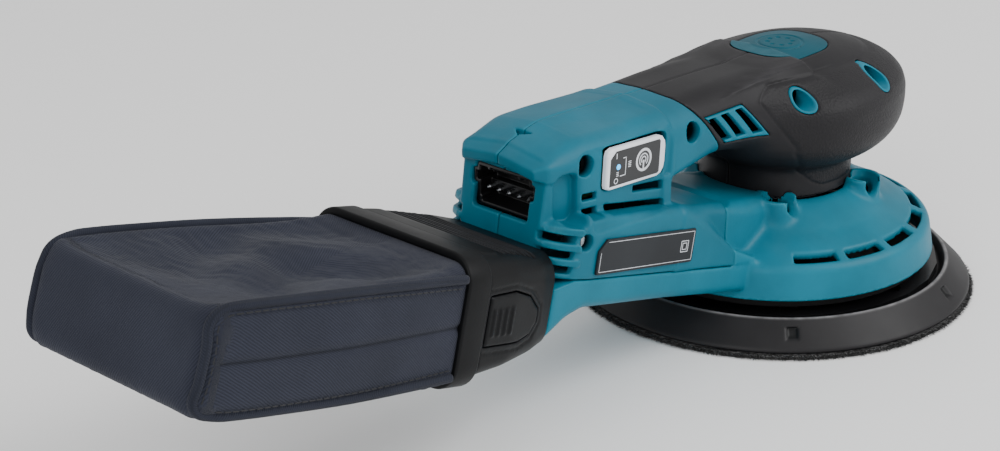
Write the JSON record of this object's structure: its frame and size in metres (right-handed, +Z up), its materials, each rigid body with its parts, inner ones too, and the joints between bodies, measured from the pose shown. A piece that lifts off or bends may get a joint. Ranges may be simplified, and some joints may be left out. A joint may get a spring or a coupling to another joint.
{
  "type": "orbital sander",
  "caption": "Random orbital sander with a palm grip over an upright motor, a round hook-faced pad, a rear power inlet and a cloth dust bag on a pitched duct.",
  "frame": {"origin": "motor axis in the plane of the sanding face", "axes": "+X forward, away from the dust bag; +Z up along the motor axis, away from the work"},
  "size_m": [0.3885, 0.1512, 0.0976],
  "materials": {
    "teal_shell": "fine moulded grain, satin",
    "teal_deck": "satin moulded plastic",
    "grip_black": "matt moulded elastomer",
    "black_plastic": "satin moulded plastic",
    "pad_rubber": "smooth moulded rubber",
    "hook_loop": "hook and loop pile",
    "bag_cloth": "woven twill",
    "steel": "bright machined",
    "dark_steel": "laminated and oiled",
    "copper": "enamelled winding",
    "aluminium": "die cast",
    "board": "solder mask",
    "white_plastic": "smooth",
    "label": "printed film",
    "led": "clear tinted lens"
  },
  "bodies": {
    "housing": {"tail_shell_right": "teal_shell", "tail_shell_left": "teal_shell", "grip_shell_right": "grip_black", "grip_shell_left": "grip_black", "vent_insert_right": "teal_shell", "vent_insert_left": "teal_shell", "crown_badge": "teal_deck", "dust_shroud": "teal_deck", "palm_sleeve_rear": "teal_deck", "palm_sleeve_front": "teal_deck", "tail_screw_rear": "steel", "tail_screw_front": "steel", "tail_screw_lower": "steel", "palm_screw_rear": "steel", "palm_screw_front": "steel", "deck_screw_1": "steel", "deck_screw_2": "steel", "deck_screw_3": "steel", "deck_screw_4": "steel", "inlet_body": "black_plastic", "control_board": "board", "tact_switch": "black_plastic", "capacitor_bank": "dark_steel", "rating_plate": "label", "motor_can": "dark_steel", "stator": "copper", "motor_bracket": "aluminium", "lower_bearing": "steel", "upper_bearing": "steel", "bearing_cap": "aluminium", "brake_ring": "pad_rubber", "contact_pin_1": "steel", "contact_pin_2": "steel", "contact_pin_3": "steel", "contact_pin_4": "steel", "contact_pin_5": "steel"},
    "rotor": {"rotor": "dark_steel", "motor_shaft": "steel", "fan": "black_plastic", "counterweight": "dark_steel", "drive_collar": "steel", "pad_bearing": "steel"},
    "pad": {"pad_spindle": "steel", "pad_stud": "steel", "pad_backing_plate": "black_plastic", "foam_pad": "pad_rubber", "hook_sheet": "hook_loop"},
    "switch": {"switch_plate": "white_plastic", "switch_face": "black_plastic", "led_lens": "led"},
    "bag_unit": {"dust_adapter": "black_plastic", "bag_collar": "black_plastic", "dust_bag": "bag_cloth"},
    "latch_right": {"bag_latch_right": "black_plastic"},
    "latch_left": {"bag_latch_left": "black_plastic"}
  },
  "joints": [
    {"name": "rotor_spin", "type": "hinge", "parent": "housing", "child": "rotor", "pos_m": [0, 0, 0.05], "axis": [0, 0, 1], "continuous": true},
    {"name": "pad_spin", "type": "hinge", "parent": "rotor", "child": "pad", "pos_m": [0.00121, 0.00088, 0.01], "axis": [0, 0, 1], "continuous": true},
    {"name": "switch_press", "type": "hinge", "parent": "housing", "child": "switch", "pos_m": [-0.1236, -0.0226, 0.0835], "axis": [0, 0, 1], "range_deg": [0, 4], "stiffness_Nm_per_rad": 0.3},
    {"name": "bag_release", "type": "slide", "parent": "housing", "child": "bag_unit", "axis": [-0.9703, 0, 0.2419], "range_m": [0, 0.02]},
    {"name": "latch_right_press", "type": "slide", "parent": "bag_unit", "child": "latch_right", "axis": [0, 1, 0], "range_m": [0, 0.0015], "stiffness_N_per_m": 800},
    {"name": "latch_left_press", "type": "slide", "parent": "bag_unit", "child": "latch_left", "axis": [0, -1, 0], "range_m": [0, 0.0015], "stiffness_N_per_m": 800}
  ]
}
